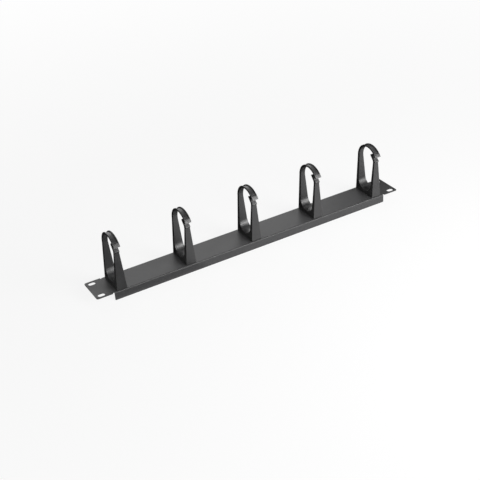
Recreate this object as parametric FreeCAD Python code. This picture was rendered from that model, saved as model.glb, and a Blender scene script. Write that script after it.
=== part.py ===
import FreeCAD, Part
import math
import os

# Horizontal cable manager for a 19-inch rack, one unit high. A panel folded from sheet
# steel carries a row of moulded cable rings. Each ring is a C-shaped loop in one piece:
# a wide foot, two tapering legs, and an arch that grows out of one leg and closes over
# the springy end of the other, so that cables are pressed in past the gate. Two
# thread-forming screws from behind hold each foot.
#
# Millimetres. +X runs along the panel, +Y across it and +Z out of its front, the way
# the rings stand. The origin is the centre of the four rack slots, on the back of the
# ears, where the panel meets the rack's rails.

V = FreeCAD.Vector

# Panel: a flat face with two ears, and a flange folded back along each long side.
PANEL_WIDTH = 482.6
PANEL_HEIGHT = 43.7
SHEET = 1.2
EAR_LENGTH = 24.9
FLANGE_DEPTH = 12.0
BEND_INNER_R = 0.4
RELIEF_WIDTH = 2.0
RELIEF_PAST_BEND = 0.4
EAR_CORNER_R = 2.5
FLANGE_CORNER_R = 1.0

# Rack slots, one near each corner of the panel: from its ends and sides to their middles.
SLOT_FROM_END = 8.75
SLOT_FROM_SIDE = 5.975
SLOT_WIDTH = 6.8
SLOT_LENGTH = 10.0

# Row of cable rings, evenly spread: from a flange's end to the middle of the first ring.
RING_COUNT = 5
RING_FROM_FLANGE_END = 11.8

# Ring, seen from the side: Y across the panel, Z up from the foot. The ring stands back
# a little from both sides of the panel, and the loop's floor keeps a short flat.
RING_FROM_PANEL_SIDE = 1.85
ARCH_CENTRE_Z = 53.7
ARCH_CENTRE_Y = -3.8
ARCH_SWEEP = 150.0
ARCH_TOP_THICKNESS = 2.9
ARCH_TIP_THICKNESS = 2.6
LEG_TOP_THICKNESS = 4.2
LEG_FOOT_THICKNESS = 6.0
FOOT_THICKNESS = 6.0
LOOP_FLAT = 3.0

# Gate: the end of the free leg, which bends in under the tip of the arch.
GATE_GAP = 0.7
GATE_END_ANGLE = 130.0
GATE_THICKNESS = 3.5
GATE_BEND_Z = 57.5
GATE_BEND_R = 6.0
NOSE_REACH = 7.1
NOSE_DROP = 3.6
NOSE_R = 0.7
LIP_PROUD = 1.6
LIP_Z = 57.0
LIP_HEIGHT = 0.8
LIP_SLOPE_RISE = 3.4

# Ring, seen from the front: X along the panel, Z up from the foot.
FOOT_WIDTH = 15.0
LEG_TOP_WIDTH = 7.2
GATE_END_WIDTH = 6.0
ARCH_TIP_WIDTH = 9.3

# Channel along the arch's outer face, between two edge ribs.
CHANNEL_DEPTH = 1.5
CHANNEL_RIB = 1.3
CHANNEL_START_ANGLE = 12.0
CHANNEL_END_ANGLE = 136.0

# Foot underside: a cored pocket between the two screw holes.
POCKET_WALL = 2.2
POCKET_FLOOR = 2.5

# Thread-forming pan-head screws, two to a ring, one under each leg.
SCREW_FROM_RING_SIDE = 5.5
SCREW_R = 1.75
SCREW_LENGTH = 12.0
SCREW_HEAD_R = 3.5
SCREW_HEAD_HEIGHT = 2.4
SCREW_CROWN_R = 2.6
HOLE_CLEARANCE = 0.5
THREAD_CLEARANCE = 0.05
HOLE_END_CLEARANCE = 0.8

# Test for picking edges.
TOLERANCE = 1e-6

# Derived sizes.
FLANGE_LENGTH = PANEL_WIDTH - 2 * EAR_LENGTH
SLOT_SPACING_X = PANEL_WIDTH - 2 * SLOT_FROM_END
SLOT_SPACING_Y = PANEL_HEIGHT - 2 * SLOT_FROM_SIDE
RING_PITCH = (FLANGE_LENGTH - 2 * RING_FROM_FLANGE_END) / (RING_COUNT - 1)
BEND_OUTER_R = BEND_INNER_R + SHEET
RING_HALF = PANEL_HEIGHT / 2 - RING_FROM_PANEL_SIDE
ARCH_R = RING_HALF - ARCH_CENTRE_Y
LEG_INNER_TOP = RING_HALF - LEG_TOP_THICKNESS
LEG_INNER_FOOT = RING_HALF - LEG_FOOT_THICKNESS
GATE_INNER = RING_HALF - GATE_THICKNESS
LOOP_CORNER_R = LEG_INNER_FOOT - LOOP_FLAT / 2
SCREW_Y = RING_HALF - SCREW_FROM_RING_SIDE
RING_CENTRES = [(i - (RING_COUNT - 1) / 2) * RING_PITCH for i in range(RING_COUNT)]


def side(y, z):
    """A point in the plane seen from the panel's end."""
    return V(0, y, z)


def front(x, z):
    """A point in the plane seen from the panel's long side."""
    return V(x, 0, z)


def above(x, y):
    """A point in the plane seen from over the panel."""
    return V(x, y, 0)


def rounded_wire(corners, plane):
    """A closed wire through (u, v, radius) corners, each rounded by its radius."""
    points = [plane(u, v) for u, v, radius in corners]
    edges = []
    starts = []
    ends = []
    middles = []
    for i, (u, v, radius) in enumerate(corners):
        corner = points[i]
        back = (points[i - 1] - corner).normalize()
        ahead = (points[(i + 1) % len(points)] - corner).normalize()
        half = back.getAngle(ahead) / 2
        reach = radius / math.tan(half)
        middle = (back + ahead).normalize() * (radius / math.sin(half) - radius)
        starts.append(corner + back * reach)
        ends.append(corner + ahead * reach)
        middles.append(corner + middle)
    for i, (u, v, radius) in enumerate(corners):
        if radius > 0:
            edges.append(Part.Arc(starts[i], middles[i], ends[i]).toShape())
        edges.append(Part.LineSegment(ends[i], starts[(i + 1) % len(corners)]).toShape())
    return Part.Wire(edges)


def slab(wire, direction, low, high):
    """The wire's face, drawn out along a direction from low to high."""
    face = Part.Face(wire)
    face.translate(direction * low)
    return face.extrude(direction * (high - low))


def slot_cutter(x, y):
    """A rack slot with round ends, running along X."""
    radius = SLOT_WIDTH / 2
    reach = SLOT_LENGTH / 2 - radius
    bar = Part.makeBox(2 * reach, SLOT_WIDTH, 3 * SHEET, V(x - reach, y - radius, -SHEET))
    ends = [Part.makeCylinder(radius, 3 * SHEET, V(x + sx * reach, y, -SHEET)) for sx in (-1, 1)]
    return bar.fuse(ends)


def panel_face():
    """The flat sheet between the bends, with the ears and their relief notches."""
    half_width = PANEL_WIDTH / 2
    half_height = PANEL_HEIGHT / 2
    inner = half_height - BEND_OUTER_R - RELIEF_PAST_BEND
    ear = FLANGE_LENGTH / 2 + RELIEF_WIDTH
    corners = []
    for sx, sy in ((1, 1), (-1, 1), (-1, -1), (1, -1)):
        tip = (sx * half_width, sy * half_height, EAR_CORNER_R)
        root = (sx * ear, sy * half_height, 0)
        notch = (sx * ear, sy * inner, 0)
        corners += [tip, root, notch] if sx * sy > 0 else [notch, root, tip]
    return slab(rounded_wire(corners, above), V(0, 0, 1), 0, SHEET)


def folded_section():
    """The face and both flanges as one bent strip, as long as the flanges."""
    half = PANEL_HEIGHT / 2
    top = SHEET
    edge = SHEET - FLANGE_DEPTH
    corners = [
        (-half, edge, 0), (-half, top, BEND_OUTER_R), (half, top, BEND_OUTER_R), (half, edge, 0),
        (half - SHEET, edge, 0), (half - SHEET, 0, BEND_INNER_R),
        (SHEET - half, 0, BEND_INNER_R), (SHEET - half, edge, 0),
    ]
    strip = slab(rounded_wire(corners, side), V(1, 0, 0), -FLANGE_LENGTH / 2, FLANGE_LENGTH / 2)
    ends = [e for e in strip.Edges if is_flange_corner(e, edge)]
    return strip.makeFillet(FLANGE_CORNER_R, ends)


def is_flange_corner(edge, level):
    """True for the short edge across the sheet at a flange's free corner."""
    box = edge.BoundBox
    across = abs(box.YLength - SHEET) < TOLERANCE and max(box.XLength, box.ZLength) < TOLERANCE
    return across and abs(box.ZMin - level) < TOLERANCE


def make_panel():
    panel = panel_face().fuse(folded_section()).removeSplitter()
    holes = []
    for sx in (-1, 1):
        for sy in (-1, 1):
            holes.append(slot_cutter(sx * SLOT_SPACING_X / 2, sy * SLOT_SPACING_Y / 2))
    for x in RING_CENTRES:
        for sy in (-1, 1):
            at = V(x, sy * SCREW_Y, -SHEET)
            holes.append(Part.makeCylinder(SCREW_R + HOLE_CLEARANCE, 3 * SHEET, at))
    return panel.cut(holes)


def arch_point(radius, angle):
    """A point at an angle round the arch's centre, from the root of the arch."""
    turn = math.radians(angle)
    return side(ARCH_CENTRE_Y + radius * math.cos(turn), ARCH_CENTRE_Z + radius * math.sin(turn))


def arch_outline():
    """The arch from the side: a round outer face, and a body that thins towards its tip."""
    half = ARCH_SWEEP / 2
    outer = [arch_point(ARCH_R, angle) for angle in (0, half, ARCH_SWEEP)]
    inner = [
        arch_point(ARCH_R - ARCH_TIP_THICKNESS, ARCH_SWEEP),
        arch_point(ARCH_R - ARCH_TOP_THICKNESS, half),
        arch_point(ARCH_R - LEG_TOP_THICKNESS, 0),
    ]
    return Part.Wire([
        Part.Arc(*outer).toShape(),
        Part.LineSegment(outer[2], inner[0]).toShape(),
        Part.Arc(*inner).toShape(),
        Part.LineSegment(inner[2], outer[0]).toShape(),
    ])


def arch_planform(inset):
    """The arch from above: it widens from its root to its tip, less an inset each side."""
    root = LEG_TOP_WIDTH / 2 - inset
    tip = ARCH_TIP_WIDTH / 2 - inset
    beyond = ARCH_CENTRE_Y - ARCH_R
    corners = [
        (root, RING_HALF, 0), (-root, RING_HALF, 0), (-root, LEG_INNER_TOP, 0),
        (-tip, beyond, 0), (tip, beyond, 0), (root, LEG_INNER_TOP, 0),
    ]
    return slab(rounded_wire(corners, above), V(0, 0, 1), 0, ARCH_CENTRE_Z + 2 * ARCH_R)


def make_arch():
    reach = max(ARCH_TIP_WIDTH, LEG_TOP_WIDTH)
    return slab(arch_outline(), V(1, 0, 0), -reach, reach).common(arch_planform(0))


def channel_cutter():
    """What the channel takes out of the arch's outer face."""
    angles = (CHANNEL_START_ANGLE, (CHANNEL_START_ANGLE + CHANNEL_END_ANGLE) / 2, CHANNEL_END_ANGLE)
    floor = [arch_point(ARCH_R - CHANNEL_DEPTH, angle) for angle in angles]
    clear = [arch_point(ARCH_R + CHANNEL_DEPTH, angle) for angle in reversed(angles)]
    wire = Part.Wire([
        Part.Arc(*floor).toShape(),
        Part.LineSegment(floor[2], clear[0]).toShape(),
        Part.Arc(*clear).toShape(),
        Part.LineSegment(clear[2], floor[0]).toShape(),
    ])
    return slab(wire, V(1, 0, 0), -ARCH_TIP_WIDTH, ARCH_TIP_WIDTH).common(arch_planform(CHANNEL_RIB))


def legs_outline():
    """The foot, both legs and the gate from the side."""
    end = arch_point(ARCH_R - ARCH_TOP_THICKNESS - GATE_GAP, GATE_END_ANGLE)
    lip_y = -RING_HALF - LIP_PROUD
    lip_top = LIP_Z + LIP_HEIGHT
    corners = [
        (-RING_HALF, 0, 0), (RING_HALF, 0, 0), (RING_HALF, ARCH_CENTRE_Z, 0),
        (LEG_INNER_TOP, ARCH_CENTRE_Z, 0),
        (LEG_INNER_FOOT, FOOT_THICKNESS, LOOP_CORNER_R), (-LEG_INNER_FOOT, FOOT_THICKNESS, LOOP_CORNER_R),
        (-GATE_INNER, GATE_BEND_Z, GATE_BEND_R),
        (NOSE_REACH - GATE_INNER, end.z - NOSE_DROP, NOSE_R), (end.y, end.z, NOSE_R),
        (end.y - LIP_PROUD, lip_top + LIP_SLOPE_RISE, 0),
        (lip_y, lip_top, 0), (lip_y, LIP_Z, 0), (-RING_HALF, LIP_Z - LIP_PROUD, 0),
    ]
    return rounded_wire(corners, side)


def legs_envelope():
    """The legs from the front: a wide foot that tapers to the arch, then on to the gate."""
    foot = FOOT_WIDTH / 2
    top = LEG_TOP_WIDTH / 2
    end = GATE_END_WIDTH / 2
    head = ARCH_CENTRE_Z + ARCH_R
    corners = [
        (foot, 0, 0), (top, ARCH_CENTRE_Z, 0), (end, head, 0),
        (-end, head, 0), (-top, ARCH_CENTRE_Z, 0), (-foot, 0, 0),
    ]
    return slab(rounded_wire(corners, front), V(0, 1, 0), -2 * RING_HALF, 2 * RING_HALF)


def make_legs():
    return slab(legs_outline(), V(1, 0, 0), -FOOT_WIDTH, FOOT_WIDTH).common(legs_envelope())


def foot_pocket():
    """The cored pocket in the foot's underside, clear of both screw holes."""
    x = FOOT_WIDTH / 2 - POCKET_WALL
    y = SCREW_Y - SCREW_R - POCKET_WALL
    return Part.makeBox(2 * x, 2 * y, FOOT_THICKNESS - POCKET_FLOOR, V(-x, -y, 0))


def screw_holes():
    """The two blind holes that the screws' threads have formed in the foot."""
    depth = SCREW_LENGTH - SHEET + HOLE_END_CLEARANCE
    radius = SCREW_R + THREAD_CLEARANCE
    return [Part.makeCylinder(radius, depth, V(0, sy * SCREW_Y, 0)) for sy in (-1, 1)]


def make_ring():
    """One cable ring, with the middle of its foot's underside at the origin."""
    body = make_legs().fuse(make_arch()).removeSplitter()
    return body.cut([channel_cutter(), foot_pocket()] + screw_holes())


def make_screw():
    """One screw, pointing up, with the seat of its head at the origin."""
    points = [
        front(0, SCREW_LENGTH), front(SCREW_R, SCREW_LENGTH), front(SCREW_R, 0),
        front(SCREW_HEAD_R, 0), front(SCREW_CROWN_R, -SCREW_HEAD_HEIGHT), front(0, -SCREW_HEAD_HEIGHT),
    ]
    profile = Part.makePolygon(points + points[:1])
    return Part.Face(profile).revolve(V(0, 0, 0), V(0, 0, 1), 360)


def placed(shape, x, y, z):
    """A copy of the shape, moved."""
    copy = shape.copy()
    copy.translate(V(x, y, z))
    return copy


def build():
    """Every piece of the cable manager, by name."""
    pieces = {"panel": make_panel()}
    ring = make_ring()
    screw = make_screw()
    for number, x in enumerate(RING_CENTRES, start=1):
        pieces[f"cable_ring_{number}"] = placed(ring, x, 0, SHEET)
        pieces[f"ring_{number}_arch_side_screw"] = placed(screw, x, SCREW_Y, 0)
        pieces[f"ring_{number}_gate_side_screw"] = placed(screw, x, -SCREW_Y, 0)
    return pieces


os.makedirs("parts", exist_ok=True)
for name, shape in build().items():
    box = shape.BoundBox
    print(name, len(shape.Solids), shape.isValid(), round(shape.Volume / 1000, 3), "cm3",
          [round(value, 2) for value in (box.XMin, box.XMax, box.YMin, box.YMax, box.ZMin, box.ZMax)])
    shape.exportStep(f"parts/{name}.step")
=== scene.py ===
import math

import bmesh
import bpy
from mathutils import Matrix, Vector


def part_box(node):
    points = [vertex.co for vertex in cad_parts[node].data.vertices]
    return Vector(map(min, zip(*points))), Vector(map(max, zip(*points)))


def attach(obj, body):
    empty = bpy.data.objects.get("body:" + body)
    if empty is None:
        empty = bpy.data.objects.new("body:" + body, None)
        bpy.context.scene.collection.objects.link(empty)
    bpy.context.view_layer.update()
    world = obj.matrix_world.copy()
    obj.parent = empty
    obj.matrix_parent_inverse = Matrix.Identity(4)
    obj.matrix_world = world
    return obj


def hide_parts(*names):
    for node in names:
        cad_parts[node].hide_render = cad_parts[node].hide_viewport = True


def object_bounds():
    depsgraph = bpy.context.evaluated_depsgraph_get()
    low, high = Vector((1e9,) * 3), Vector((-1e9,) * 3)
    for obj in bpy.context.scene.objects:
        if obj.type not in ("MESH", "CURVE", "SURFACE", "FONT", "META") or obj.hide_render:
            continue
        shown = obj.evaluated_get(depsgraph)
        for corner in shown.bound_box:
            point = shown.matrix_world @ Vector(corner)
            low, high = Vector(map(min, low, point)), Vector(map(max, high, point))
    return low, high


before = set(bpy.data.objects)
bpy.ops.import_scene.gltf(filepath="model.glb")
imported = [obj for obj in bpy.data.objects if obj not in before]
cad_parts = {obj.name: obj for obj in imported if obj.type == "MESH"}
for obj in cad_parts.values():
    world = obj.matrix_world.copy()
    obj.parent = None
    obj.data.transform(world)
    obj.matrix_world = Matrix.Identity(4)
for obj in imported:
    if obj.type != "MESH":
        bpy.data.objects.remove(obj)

bl_info = {
    "name": "Cable manager finish",
    "version": (1, 0, 0),
    "blender": (4, 5, 0),
    "location": "3D View > Sidebar > Cable manager",
    "description": "Finishes the panel, rings and screws of a rack cable manager and lights them",
    "category": "Object",
}

# The part's frame: metres, X along the panel, Y across it, Z out of its front.
MM = 0.001
CAD_BOX = [list(corner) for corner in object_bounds()]
FLOOR_Z = CAD_BOX[0][2]
PANEL_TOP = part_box("panel")[1].z
RING_NODES = sorted(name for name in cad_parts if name.startswith("cable_ring_"))
SCREW_NODES = sorted(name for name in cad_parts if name.endswith("_side_screw"))
RING_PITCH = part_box(RING_NODES[1])[0].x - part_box(RING_NODES[0])[0].x

# Turns between faces: less than the first is flat, more than the second gets a rounded
# edge, and more than the third is shaded apart.
FLAT_TURN = math.radians(0.6)
EDGE_TURN = math.radians(25)
SHARP_TURN = math.radians(42)

# Points closer than this are the same.
TINY = 0.001 * MM

# Rows of faces: across a rounded edge of the sheet and of a ring, to one turn of a screw's
# thread, up the dome of its head, and round it.
SHEET_EDGE_ROWS = 2
RING_EDGE_ROWS = 3
THREAD_ROWS = 10
DOME_ROWS = 6
ROUND_ROWS = 48

# Thread of a screw: how steeply it rises from its valley, and a tip that narrows to a
# share of the shank over some turns.
THREAD_FLANK = 3
TIP_SHARE = 0.45
TIP_TURNS = 2

# Cross recess: the share of its span that is sunk, and its floor as a share of its mouth.
RECESS_REACH = 0.93
RECESS_TAPER = 0.55

# Floor: its half width, and how far from the part its shadow starts to fade and is gone.
FLOOR_REACH = 6
FADE_START = 0.35
FADE_END = 1.5

# Softboxes: name, place, aim, width and height, and the setting that holds the power.
SOFTBOXES = (
    ("front softbox", (0.5, -1.7, 0.45), (0.1, 0, 0), (2.4, 0.9), "front_power"),
    ("side softbox", (0.7, -0.9, 0.35), (0.2, 0, 0), (0.8, 0.6), "side_power"),
    ("key softbox", (0.28, -0.6, 0.45), (0.05, 0, 0), (0.45, 0.4), "key_power"),
    ("back softbox", (0.4, 1.6, 0.95), (0, 0, 0), (1.8, 1.0), "back_power"),
)


class PanelCoatSettings(bpy.types.PropertyGroup):
    """Sizes and finish of the coated steel panel."""

    edge_radius: bpy.props.FloatProperty(
        name="Edge radius", description="Rounding of the cut and coated sheet edges",
        default=0.15 * MM, min=0, subtype="DISTANCE", unit="LENGTH")
    colour: bpy.props.FloatVectorProperty(
        name="Coat colour", description="Colour of the powder coat",
        default=(0.037, 0.037, 0.038), min=0, max=1, subtype="COLOR")
    roughness: bpy.props.FloatProperty(
        name="Roughness", description="How satin the coat is",
        default=0.48, min=0, max=1, subtype="FACTOR")
    specular: bpy.props.FloatProperty(
        name="Specular", description="Strength of the coat's reflections, 0.5 as for most coats",
        default=0.34, min=0, max=1, subtype="FACTOR")
    peel_size: bpy.props.FloatProperty(
        name="Peel size", description="Width of one dimple of the coat's orange peel",
        default=1.1 * MM, min=0, subtype="DISTANCE", unit="LENGTH")
    peel_depth: bpy.props.FloatProperty(
        name="Peel depth", description="Depth of the coat's orange peel",
        default=0.006 * MM, min=0, subtype="DISTANCE", unit="LENGTH")


class RingPlasticSettings(bpy.types.PropertyGroup):
    """Sizes and finish of the moulded cable rings."""

    edge_radius: bpy.props.FloatProperty(
        name="Edge radius", description="Rounding of the moulded edges",
        default=0.35 * MM, min=0, subtype="DISTANCE", unit="LENGTH")
    colour: bpy.props.FloatVectorProperty(
        name="Plastic colour", description="Colour of the moulded nylon",
        default=(0.03, 0.03, 0.0305), min=0, max=1, subtype="COLOR")
    roughness: bpy.props.FloatProperty(
        name="Roughness", description="How dull the plastic is",
        default=0.37, min=0, max=1, subtype="FACTOR")
    specular: bpy.props.FloatProperty(
        name="Specular", description="Strength of the plastic's reflections, 0.5 as for most plastics",
        default=0.45, min=0, max=1, subtype="FACTOR")
    grain_size: bpy.props.FloatProperty(
        name="Grain size", description="Width of one grain of the mould's texture",
        default=0.35 * MM, min=0, subtype="DISTANCE", unit="LENGTH")
    grain_depth: bpy.props.FloatProperty(
        name="Grain depth", description="Depth of the mould's texture",
        default=0.004 * MM, min=0, subtype="DISTANCE", unit="LENGTH")
    seam_width: bpy.props.FloatProperty(
        name="Seam width", description="Width of the witness line where the mould halves meet",
        default=0.16 * MM, min=0, subtype="DISTANCE", unit="LENGTH")
    seam_height: bpy.props.FloatProperty(
        name="Seam height", description="Height of that witness line",
        default=0.03 * MM, min=0, subtype="DISTANCE", unit="LENGTH")


class ScrewZincSettings(bpy.types.PropertyGroup):
    """Sizes and finish of the thread-forming screws."""

    head_flank: bpy.props.FloatProperty(
        name="Head flank", description="Height of the upright rim of the pan head",
        default=0.7 * MM, min=0, subtype="DISTANCE", unit="LENGTH")
    recess_width: bpy.props.FloatProperty(
        name="Recess width", description="Width of one arm of the cross recess",
        default=0.75 * MM, min=0, subtype="DISTANCE", unit="LENGTH")
    recess_span: bpy.props.FloatProperty(
        name="Recess span", description="Length of the cross recess over both arms",
        default=3.6 * MM, min=0, subtype="DISTANCE", unit="LENGTH")
    recess_depth: bpy.props.FloatProperty(
        name="Recess depth", description="Depth of the cross recess",
        default=1.5 * MM, min=0, subtype="DISTANCE", unit="LENGTH")
    thread_radius: bpy.props.FloatProperty(
        name="Thread radius", description="Half of the thread's outer diameter",
        default=1.75 * MM, min=0, subtype="DISTANCE", unit="LENGTH")
    thread_pitch: bpy.props.FloatProperty(
        name="Thread pitch", description="Rise of the thread in one turn",
        default=1.35 * MM, min=0.1 * MM, subtype="DISTANCE", unit="LENGTH")
    thread_depth: bpy.props.FloatProperty(
        name="Thread depth", description="Height of the thread over the core",
        default=0.35 * MM, min=0, subtype="DISTANCE", unit="LENGTH")
    grain_size: bpy.props.FloatProperty(
        name="Grain size", description="Width of one grain of the plating",
        default=0.4 * MM, min=0, subtype="DISTANCE", unit="LENGTH")
    grain_depth: bpy.props.FloatProperty(
        name="Grain depth", description="Depth of the plating's grain",
        default=0.003 * MM, min=0, subtype="DISTANCE", unit="LENGTH")
    colour: bpy.props.FloatVectorProperty(
        name="Zinc colour", description="Colour of the zinc plating",
        default=(0.62, 0.63, 0.65), min=0, max=1, subtype="COLOR")
    roughness: bpy.props.FloatProperty(
        name="Roughness", description="How dull the plating is",
        default=0.3, min=0, max=1, subtype="FACTOR")


class StageSettings(bpy.types.PropertyGroup):
    """Floor, light and camera."""

    floor_colour: bpy.props.FloatVectorProperty(
        name="Floor colour", description="Colour of the plain floor",
        default=(0.9, 0.9, 0.9), min=0, max=1, subtype="COLOR")
    floor_white: bpy.props.FloatProperty(
        name="Floor white", description="Share of the floor that shows as plain white, over its shadow",
        default=0.88, min=0, max=1, subtype="FACTOR")
    room_light: bpy.props.FloatProperty(
        name="Room light", description="Plain light from all round",
        default=0.05, min=0)
    front_power: bpy.props.FloatProperty(
        name="Front power", description="Power of the wide softbox in front",
        default=22.5, min=0, unit="POWER")
    side_power: bpy.props.FloatProperty(
        name="Side power", description="Power of the near softbox in front, to the right",
        default=6.0, min=0, unit="POWER")
    key_power: bpy.props.FloatProperty(
        name="Key power", description="Power of the small softbox above the near side",
        default=3.8, min=0, unit="POWER")
    back_power: bpy.props.FloatProperty(
        name="Back power", description="Power of the wide softbox behind",
        default=9.0, min=0, unit="POWER")
    azimuth: bpy.props.FloatProperty(
        name="Camera azimuth", description="Turn of the camera about the panel, from its near side",
        default=-0.48789, subtype="ANGLE", unit="ROTATION")
    elevation: bpy.props.FloatProperty(
        name="Camera elevation", description="Height of the camera over the panel, as an angle",
        default=0.5464, subtype="ANGLE", unit="ROTATION")
    roll: bpy.props.FloatProperty(
        name="Camera roll", description="Roll of the camera about its own axis",
        default=-0.07829, subtype="ANGLE", unit="ROTATION")
    distance: bpy.props.FloatProperty(
        name="Camera distance", description="From the camera to the point it looks at",
        default=1.385377, min=0, subtype="DISTANCE", unit="LENGTH")
    look_at: bpy.props.FloatVectorProperty(
        name="Looks at", description="The point on the panel's front that the camera looks at",
        default=(-18.7 * MM, -6.0 * MM, PANEL_TOP), subtype="TRANSLATION", unit="LENGTH")
    lens: bpy.props.FloatProperty(
        name="Lens", description="Focal length of the camera, in millimetres",
        default=74.96, min=1)


# Nodes of a material.

def add_node(tree, kind, **values):
    """A new node, with its sockets set by name."""
    node = tree.nodes.new(kind)
    for name, value in values.items():
        node.inputs[name.replace("_", " ")].default_value = value
    return node


def add_math(tree, operation, first, second=None):
    """A math node on sockets or numbers; its result socket."""
    node = tree.nodes.new("ShaderNodeMath")
    node.operation = operation
    for socket, value in zip(node.inputs, (first, second)):
        if isinstance(value, bpy.types.NodeSocket):
            tree.links.new(value, socket)
        elif value is not None:
            socket.default_value = value
    return node.outputs[0]


def add_range(tree, value, low, high, new_low, new_high):
    """A map range node; its result socket."""
    node = tree.nodes.new("ShaderNodeMapRange")
    tree.links.new(value, node.inputs["Value"])
    for name, number in (("From Min", low), ("From Max", high), ("To Min", new_low), ("To Max", new_high)):
        if isinstance(number, bpy.types.NodeSocket):
            tree.links.new(number, node.inputs[name])
        else:
            node.inputs[name].default_value = number
    return node.outputs["Result"]


def new_group(name, inputs, outputs):
    """An empty shader node group with float sockets, and its input and output nodes."""
    tree = bpy.data.node_groups.new(name, "ShaderNodeTree")
    for label, default in inputs:
        socket = tree.interface.new_socket(name=label, in_out="INPUT", socket_type="NodeSocketFloat")
        socket.default_value = default
    for label in outputs:
        tree.interface.new_socket(name=label, in_out="OUTPUT", socket_type="NodeSocketFloat")
    return tree, tree.nodes.new("NodeGroupInput"), tree.nodes.new("NodeGroupOutput")


def fine_grain_group():
    """Fine grain of a sprayed or moulded skin: a height, in grains of a size and depth."""
    name = "fine grain"
    if name in bpy.data.node_groups:
        return bpy.data.node_groups[name]
    tree, given, result = new_group(name, [("Size", 0.001), ("Depth", 0.00001)], ["Height"])
    place = tree.nodes.new("ShaderNodeTexCoord")
    noise = add_node(tree, "ShaderNodeTexNoise", Detail=3.0, Roughness=0.55)
    tree.links.new(place.outputs["Object"], noise.inputs["Vector"])
    tree.links.new(add_math(tree, "DIVIDE", 1.0, given.outputs["Size"]), noise.inputs["Scale"])
    height = add_math(tree, "MULTIPLY", noise.outputs["Fac"], given.outputs["Depth"])
    tree.links.new(height, result.inputs["Height"])
    return tree


def handling_group():
    """Soft uneven patches where hands and dust have dulled a skin: a mask from 0 to 1."""
    name = "handling marks"
    if name in bpy.data.node_groups:
        return bpy.data.node_groups[name]
    tree, given, result = new_group(name, [("Patch Size", 0.05), ("Share", 0.5)], ["Mask"])
    place = tree.nodes.new("ShaderNodeTexCoord")
    wide = add_node(tree, "ShaderNodeTexNoise", Detail=4.0, Roughness=0.6, Distortion=0.4)
    tree.links.new(place.outputs["Object"], wide.inputs["Vector"])
    tree.links.new(add_math(tree, "DIVIDE", 1.0, given.outputs["Patch Size"]), wide.inputs["Scale"])
    start = add_math(tree, "SUBTRACT", 0.9, given.outputs["Share"])
    mask = add_range(tree, wide.outputs["Fac"], start, 0.95, 0.0, 1.0)
    tree.links.new(mask, result.inputs["Mask"])
    return tree


def new_material(name):
    """A material with a Principled shader, its tree and that shader."""
    material = bpy.data.materials.new(name)
    material.use_nodes = True
    tree = material.node_tree
    return material, tree, tree.nodes["Principled BSDF"]


def add_group(tree, group, **values):
    """A node that places a group, with its inputs set by name."""
    node = tree.nodes.new("ShaderNodeGroup")
    node.node_tree = group
    for name, value in values.items():
        node.inputs[name.replace("_", " ")].default_value = value
    return node


def link_tint(tree, shader, mask, colour, lift):
    """The base colour, lifted a little where the mask is high."""
    mix = tree.nodes.new("ShaderNodeMix")
    mix.data_type = "RGBA"
    mix.inputs["A"].default_value = (*colour, 1)
    mix.inputs["B"].default_value = (*[min(1, channel * lift) for channel in colour], 1)
    tree.links.new(mask, mix.inputs["Factor"])
    tree.links.new(mix.outputs["Result"], shader.inputs["Base Color"])


def link_roughness(tree, shader, mask, low, high):
    """The roughness, from low to high as the mask rises."""
    tree.links.new(add_range(tree, mask, 0, 1, low, high), shader.inputs["Roughness"])


def link_bump(tree, shader, height):
    """A height in metres as a bump on the shader's normal."""
    bump = add_node(tree, "ShaderNodeBump", Strength=1.0, Distance=1.0)
    tree.links.new(height, bump.inputs["Height"])
    tree.links.new(bump.outputs["Normal"], shader.inputs["Normal"])


def powder_coat_material(settings):
    """Satin black powder coat with a fine orange peel."""
    material, tree, shader = new_material("satin powder coat")
    marks = add_group(tree, handling_group(), Patch_Size=0.06, Share=0.45)
    peel = add_group(tree, fine_grain_group(), Size=settings.peel_size, Depth=settings.peel_depth)
    rough = settings.roughness
    link_roughness(tree, shader, marks.outputs["Mask"], rough - 0.02, rough + 0.05)
    shader.inputs["Specular IOR Level"].default_value = settings.specular
    link_tint(tree, shader, marks.outputs["Mask"], settings.colour, 1.12)
    link_bump(tree, shader, peel.outputs["Height"])
    return material


def seam_height(tree, settings):
    """The witness line along the middle of each ring, as a height."""
    place = tree.nodes.new("ShaderNodeTexCoord")
    axes = tree.nodes.new("ShaderNodeSeparateXYZ")
    tree.links.new(place.outputs["Object"], axes.inputs["Vector"])
    from_ring = add_math(tree, "PINGPONG", axes.outputs["X"], RING_PITCH / 2)
    return add_range(tree, from_ring, 0, settings.seam_width, settings.seam_height, 0)


def ring_plastic_material(settings):
    """Black moulded nylon with a fine grain and a faint mould seam."""
    material, tree, shader = new_material("moulded black nylon")
    marks = add_group(tree, handling_group(), Patch_Size=0.02, Share=0.4)
    grain = add_group(tree, fine_grain_group(), Size=settings.grain_size, Depth=settings.grain_depth)
    rough = settings.roughness
    link_roughness(tree, shader, marks.outputs["Mask"], rough - 0.03, rough + 0.06)
    shader.inputs["Specular IOR Level"].default_value = settings.specular
    link_tint(tree, shader, marks.outputs["Mask"], settings.colour, 1.2)
    link_bump(tree, shader, add_math(tree, "ADD", grain.outputs["Height"], seam_height(tree, settings)))
    return material


def zinc_material(settings):
    """Bright zinc plating, slightly clouded."""
    material, tree, shader = new_material("bright zinc")
    shader.inputs["Metallic"].default_value = 1.0
    marks = add_group(tree, handling_group(), Patch_Size=0.003, Share=0.5)
    grain = add_group(tree, fine_grain_group(), Size=settings.grain_size, Depth=settings.grain_depth)
    rough = settings.roughness
    link_roughness(tree, shader, marks.outputs["Mask"], rough - 0.04, rough + 0.1)
    link_tint(tree, shader, marks.outputs["Mask"], settings.colour, 0.85)
    link_bump(tree, shader, grain.outputs["Height"])
    return material


# Shapes.

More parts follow.
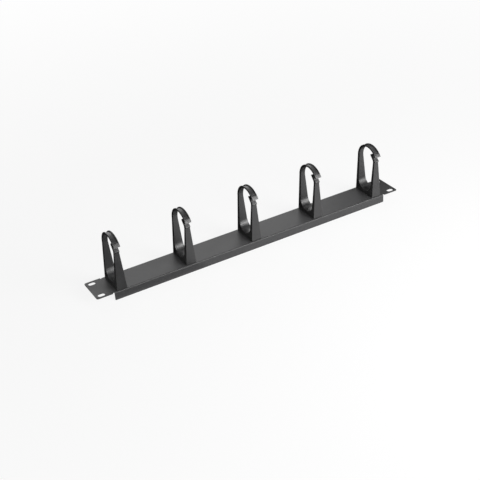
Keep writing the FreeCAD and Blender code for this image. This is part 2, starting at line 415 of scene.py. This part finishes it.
def merged_copy(node):
    """A CAD node's triangles, joined up and with its flat faces made whole."""
    shape = bmesh.new()
    shape.from_mesh(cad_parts[node].data)
    bmesh.ops.remove_doubles(shape, verts=shape.verts, dist=2 * TINY)
    bmesh.ops.dissolve_limit(shape, angle_limit=FLAT_TURN, verts=shape.verts, edges=shape.edges)
    return shape


def round_edges(shape, radius, rows):
    """Rounds every edge where two faces meet at a turn, with rows of faces."""
    edges = [edge for edge in shape.edges if edge.is_manifold and edge.calc_face_angle() > EDGE_TURN]
    bmesh.ops.bevel(shape, geom=edges, offset=radius, offset_type="OFFSET", segments=rows,
                    profile=0.5, affect="EDGES", clamp_overlap=False, material=-1)


def add_piece(name, shape, material):
    """A smooth-shaded object from a bmesh, crisp at the edges that are left sharp."""
    for face in shape.faces:
        face.smooth = True
    for edge in shape.edges:
        edge.smooth = edge.calc_face_angle(0) < SHARP_TURN
    mesh = bpy.data.meshes.new(name)
    shape.to_mesh(mesh)
    shape.free()
    mesh.materials.append(material)
    piece = bpy.data.objects.new(name, mesh)
    bpy.context.scene.collection.objects.link(piece)
    normals = piece.modifiers.new("flat faces stay flat", "WEIGHTED_NORMAL")
    normals.keep_sharp = True
    return piece


def fit_piece(piece, node):
    """The piece rides on the part in place of its CAD node."""
    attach(piece, "root")
    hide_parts(node)


def screw_profile(settings, size):
    """Half of a screw from its tip to the crown of its head, as (distance from the axis, height)."""
    rows = math.ceil(size["length"] / settings.thread_pitch * THREAD_ROWS)
    shank = [(size["shank_r"], size["length"] * (1 - row / rows)) for row in range(rows + 1)]
    dome = size["head_height"] - settings.head_flank
    crown = settings.recess_span / 2
    head = [(size["head_r"], 0)]
    for step in range(DOME_ROWS + 1):
        turn = math.pi / 2 * step / DOME_ROWS
        head.append((crown + (size["head_r"] - crown) * math.cos(turn),
                     -settings.head_flank - dome * math.sin(turn)))
    return [(0, size["length"])] + shank + head + [(0, -size["head_height"])]


def cut_thread(shape, settings, size):
    """Draws the shank in between the turns of its thread, and to a point at the tip."""
    for vert in shape.verts:
        reach = Vector((vert.co.x, vert.co.y)).length
        if vert.co.z < settings.thread_pitch / 2 or reach < size["shank_r"] / 2:
            continue
        phase = vert.co.z / settings.thread_pitch - math.atan2(vert.co.y, vert.co.x) / (2 * math.pi)
        valley = min(1, abs(phase % 1 - 0.5) * THREAD_FLANK)
        to_tip = (size["length"] - vert.co.z) / settings.thread_pitch / TIP_TURNS
        radius = size["shank_r"] - settings.thread_depth * valley
        radius = min(radius, size["shank_r"] * (TIP_SHARE + (1 - TIP_SHARE) * min(1, to_tip)))
        vert.co.x *= radius / reach
        vert.co.y *= radius / reach


def cut_recess(shape, settings, size):
    """Sinks a tapering cross into the flat crown of the head."""
    half = settings.recess_width / 2
    reach = RECESS_REACH * settings.recess_span / 2
    crown = [face for face in shape.faces if face.calc_center_median().z < TINY - size["head_height"]]
    for normal in ((1, 0, 0), (0, 1, 0)):
        for side in (-half, half):
            parts = set(crown)
            parts.update(edge for face in crown for edge in face.edges)
            parts.update(vert for face in crown for vert in face.verts)
            bmesh.ops.bisect_plane(shape, geom=list(parts), plane_co=Vector(normal) * side, plane_no=normal)
            crown = [face for face in shape.faces
                     if face.calc_center_median().z < TINY - size["head_height"]]
    arms = []
    for face in crown:
        middle = face.calc_center_median()
        if min(abs(middle.x), abs(middle.y)) < half and middle.xy.length < reach:
            arms.append(face)
    sunk = bmesh.ops.extrude_face_region(shape, geom=arms)["geom"]
    floor = [part for part in sunk if isinstance(part, bmesh.types.BMVert)]
    bmesh.ops.delete(shape, geom=arms, context="FACES")
    bmesh.ops.translate(shape, verts=floor, vec=(0, 0, settings.recess_depth))
    bmesh.ops.scale(shape, verts=floor, vec=(RECESS_TAPER, RECESS_TAPER, 1))
    bmesh.ops.dissolve_degenerate(shape, edges=shape.edges, dist=2 * TINY)


def screw_shape(settings, size):
    """One pan-head screw, pointing up, with the seat of its head at the origin."""
    shape = bmesh.new()
    points = [shape.verts.new((x, 0, z)) for x, z in screw_profile(settings, size)]
    edges = [shape.edges.new(pair) for pair in zip(points, points[1:])]
    bmesh.ops.spin(shape, geom=points + edges, cent=(0, 0, 0), axis=(0, 0, 1), angle=2 * math.pi,
                   steps=ROUND_ROWS, use_merge=True)
    bmesh.ops.remove_doubles(shape, verts=shape.verts, dist=TINY)
    bmesh.ops.recalc_face_normals(shape, faces=shape.faces)
    cut_thread(shape, settings, size)
    cut_recess(shape, settings, size)
    return shape


# Steps that finish the pieces.

class CABLEMANAGER_OT_panel(bpy.types.Operator):
    """Finish the folded panel: rounded sheet edges and powder coat"""

    bl_idname = "cablemanager.panel"
    bl_label = "Finish the panel"

    def execute(self, context):
        settings = context.scene.panel_coat
        shape = merged_copy("panel")
        round_edges(shape, settings.edge_radius, SHEET_EDGE_ROWS)
        piece = add_piece("coated_panel", shape, powder_coat_material(settings))
        fit_piece(piece, "panel")
        return {"FINISHED"}


class CABLEMANAGER_OT_rings(bpy.types.Operator):
    """Finish the cable rings: rounded moulded edges and black nylon"""

    bl_idname = "cablemanager.rings"
    bl_label = "Finish the rings"

    def execute(self, context):
        settings = context.scene.ring_plastic
        material = ring_plastic_material(settings)
        for number, node in enumerate(RING_NODES, start=1):
            shape = merged_copy(node)
            round_edges(shape, settings.edge_radius, RING_EDGE_ROWS)
            piece = add_piece(f"moulded_ring_{number}", shape, material)
            fit_piece(piece, node)
        return {"FINISHED"}


class CABLEMANAGER_OT_screws(bpy.types.Operator):
    """Finish the screws behind the panel: pan heads, cross recesses and threads"""

    bl_idname = "cablemanager.screws"
    bl_label = "Finish the screws"

    def execute(self, context):
        settings = context.scene.screw_zinc
        material = zinc_material(settings)
        for node in SCREW_NODES:
            low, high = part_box(node)
            size = {
                "head_r": (high.x - low.x) / 2,
                "head_height": -low.z,
                "length": high.z,
                "shank_r": settings.thread_radius,
            }
            shape = screw_shape(settings, size)
            middle = (low + high) / 2
            bmesh.ops.translate(shape, verts=shape.verts, vec=(middle.x, middle.y, 0))
            piece = add_piece(node.replace("_side_screw", "_side_pan_head"), shape, material)
            fit_piece(piece, node)
        return {"FINISHED"}


# Stage.

def add_softbox(name, place, aim, size, power):
    """A soft rectangular lamp, turned to what it lights."""
    lamp = bpy.data.lights.new(name, "AREA")
    lamp.shape = "RECTANGLE"
    lamp.size, lamp.size_y = size
    lamp.energy = power
    holder = bpy.data.objects.new(name, lamp)
    bpy.context.scene.collection.objects.link(holder)
    turn = (Vector(aim) - Vector(place)).to_track_quat("-Z", "Y")
    holder.matrix_world = Matrix.Translation(place) @ turn.to_matrix().to_4x4()
    holder.visible_camera = False


def black_card_material():
    """Matt black card."""
    name = "black card"
    if name in bpy.data.materials:
        return bpy.data.materials[name]
    material, tree, shader = new_material(name)
    shader.inputs["Base Color"].default_value = (0.005, 0.005, 0.005, 1)
    shader.inputs["Specular IOR Level"].default_value = 0
    shader.inputs["Roughness"].default_value = 1
    return material


def add_flag(name, *corners):
    """A black card that shows only in reflections."""
    shape = bmesh.new()
    shape.faces.new([shape.verts.new(corner) for corner in corners])
    mesh = bpy.data.meshes.new(name)
    shape.to_mesh(mesh)
    shape.free()
    mesh.materials.append(black_card_material())
    card = bpy.data.objects.new(name, mesh)
    bpy.context.scene.collection.objects.link(card)
    card.visible_camera = False
    card.visible_diffuse = False
    card.visible_shadow = False


def add_lying_flag(name, level, *corners):
    """A flag that lies flat at a level."""
    add_flag(name, *[(x, y, level) for x, y in corners])


def add_standing_flag(name, start, end, foot, head):
    """A flag that stands upright from one point to another."""
    add_flag(name, (*start, foot), (*end, foot), (*end, head), (*start, head))


def add_flags():
    """The black cards round the piece, which keep its left sides and the middle of its arches dark."""
    low = FLOOR_Z + MM
    add_lying_flag("left flag", low, (-0.55, 0.025), (0.35, 0.025), (0.35, 0.375), (-0.55, 0.375))
    add_standing_flag("back left flag", (-1.1, 0.3), (0.05, 1.2), low, 0.3)
    add_lying_flag("front left flag", low, (-0.65, -0.35), (-0.27, -0.35), (-0.08, -0.024), (-0.65, -0.024))
    add_lying_flag("top flag", 0.62, (-0.2, -0.3), (0.7, -0.3), (0.7, 0.05), (-0.2, 0.05))
    add_standing_flag("back right flag", (0.37, 0.34), (0.85, 0.34), 0.08, 0.45)
    add_standing_flag("ear flag", (0.22, 0.045), (0.33, 0.045), low, 0.1)


def seen_ray(tree):
    """1 for rays that show the background itself, straight, mirrored or through glass."""
    path = tree.nodes.new("ShaderNodeLightPath")
    seen = add_math(tree, "ADD", path.outputs["Is Camera Ray"], path.outputs["Is Glossy Ray"])
    return add_math(tree, "MINIMUM", add_math(tree, "ADD", seen, path.outputs["Is Transmission Ray"]), 1.0)


def make_floor(settings):
    """A plain pale floor that shows white and keeps a soft shadow."""
    shape = bmesh.new()
    bmesh.ops.create_grid(shape, x_segments=1, y_segments=1, size=FLOOR_REACH)
    bmesh.ops.translate(shape, verts=shape.verts, vec=(0, 0, FLOOR_Z))
    mesh = bpy.data.meshes.new("floor")
    shape.to_mesh(mesh)
    shape.free()
    floor = bpy.data.objects.new("floor", mesh)
    bpy.context.scene.collection.objects.link(floor)
    material, tree, shader = new_material("plain floor")
    tree.nodes.remove(shader)
    plain = add_node(tree, "ShaderNodeBsdfDiffuse", Color=(*settings.floor_colour, 1))
    white = add_node(tree, "ShaderNodeEmission", Color=(1, 1, 1, 1), Strength=1.0)
    mix = tree.nodes.new("ShaderNodeMixShader")
    place = tree.nodes.new("ShaderNodeTexCoord")
    reach = tree.nodes.new("ShaderNodeVectorMath")
    reach.operation = "LENGTH"
    tree.links.new(place.outputs["Object"], reach.inputs[0])
    share = add_range(tree, reach.outputs["Value"], FADE_START, FADE_END, settings.floor_white, 1)
    tree.links.new(add_math(tree, "MULTIPLY", seen_ray(tree), share), mix.inputs["Fac"])
    tree.links.new(plain.outputs["BSDF"], mix.inputs[1])
    tree.links.new(white.outputs["Emission"], mix.inputs[2])
    tree.links.new(mix.outputs["Shader"], tree.nodes["Material Output"].inputs["Surface"])
    mesh.materials.append(material)


def make_room(settings):
    """White behind everything, and plain room light on it."""
    world = bpy.data.worlds.new("white room")
    bpy.context.scene.world = world
    world.use_nodes = True
    tree = world.node_tree
    light = tree.nodes["Background"]
    light.inputs["Color"].default_value = (1, 1, 1, 1)
    light.inputs["Strength"].default_value = settings.room_light
    white = add_node(tree, "ShaderNodeBackground", Color=(1, 1, 1, 1), Strength=1.0)
    mix = tree.nodes.new("ShaderNodeMixShader")
    tree.links.new(seen_ray(tree), mix.inputs["Fac"])
    tree.links.new(light.outputs["Background"], mix.inputs[1])
    tree.links.new(white.outputs["Background"], mix.inputs[2])
    tree.links.new(mix.outputs["Shader"], tree.nodes["World Output"].inputs["Surface"])


def make_camera(settings):
    """The camera, turned about the point it looks at and rolled about its own axis."""
    azimuth, elevation, roll = settings.azimuth, settings.elevation, settings.roll
    back = Vector((math.sin(azimuth) * math.cos(elevation),
                   -math.cos(azimuth) * math.cos(elevation), math.sin(elevation)))
    level = Vector((0, 0, 1)).cross(back).normalized()
    upward = back.cross(level)
    right = math.cos(roll) * level + math.sin(roll) * upward
    up = math.cos(roll) * upward - math.sin(roll) * level
    lens = bpy.data.cameras.new("camera")
    lens.sensor_width = 36
    lens.lens = settings.lens
    camera = bpy.data.objects.new("camera", lens)
    bpy.context.scene.collection.objects.link(camera)
    place = Matrix.Translation(Vector(settings.look_at) + back * settings.distance)
    camera.matrix_world = place @ Matrix((right, up, back)).transposed().to_4x4()
    bpy.context.scene.camera = camera


class CABLEMANAGER_OT_stage(bpy.types.Operator):
    """Set out the floor, the white room, the lamps and the camera"""

    bl_idname = "cablemanager.stage"
    bl_label = "Set out the stage"

    def execute(self, context):
        settings = context.scene.stage_light
        make_floor(settings)
        make_room(settings)
        for name, place, aim, size, power in SOFTBOXES:
            add_softbox(name, place, aim, size, getattr(settings, power))
        add_flags()
        make_camera(settings)
        context.scene.view_settings.view_transform = "Standard"
        return {"FINISHED"}


# Add-on.

class CABLEMANAGER_PT_sidebar(bpy.types.Panel):
    """The steps that finish the cable manager, with their settings"""

    bl_label = "Cable manager"
    bl_space_type = "VIEW_3D"
    bl_region_type = "UI"
    bl_category = "Cable manager"

    def draw(self, context):
        for operator, group in STEPS:
            box = self.layout.box()
            box.operator(operator)
            settings = getattr(context.scene, group)
            for name in settings.bl_rna.properties.keys():
                if name not in ("rna_type", "name"):
                    box.prop(settings, name)


STEPS = (
    ("cablemanager.panel", "panel_coat"),
    ("cablemanager.rings", "ring_plastic"),
    ("cablemanager.screws", "screw_zinc"),
    ("cablemanager.stage", "stage_light"),
)

GROUPS = {
    "panel_coat": PanelCoatSettings,
    "ring_plastic": RingPlasticSettings,
    "screw_zinc": ScrewZincSettings,
    "stage_light": StageSettings,
}

CLASSES = (
    *GROUPS.values(),
    CABLEMANAGER_OT_panel,
    CABLEMANAGER_OT_rings,
    CABLEMANAGER_OT_screws,
    CABLEMANAGER_OT_stage,
    CABLEMANAGER_PT_sidebar,
)


def register():
    for each in CLASSES:
        bpy.utils.register_class(each)
    for name, group in GROUPS.items():
        setattr(bpy.types.Scene, name, bpy.props.PointerProperty(type=group))


def unregister():
    for name in GROUPS:
        delattr(bpy.types.Scene, name)
    for each in reversed(CLASSES):
        bpy.utils.unregister_class(each)


def main():
    """Takes every step in turn."""
    register()
    bpy.ops.cablemanager.panel()
    bpy.ops.cablemanager.rings()
    bpy.ops.cablemanager.screws()
    bpy.ops.cablemanager.stage()


if __name__ == "__main__":
    main()
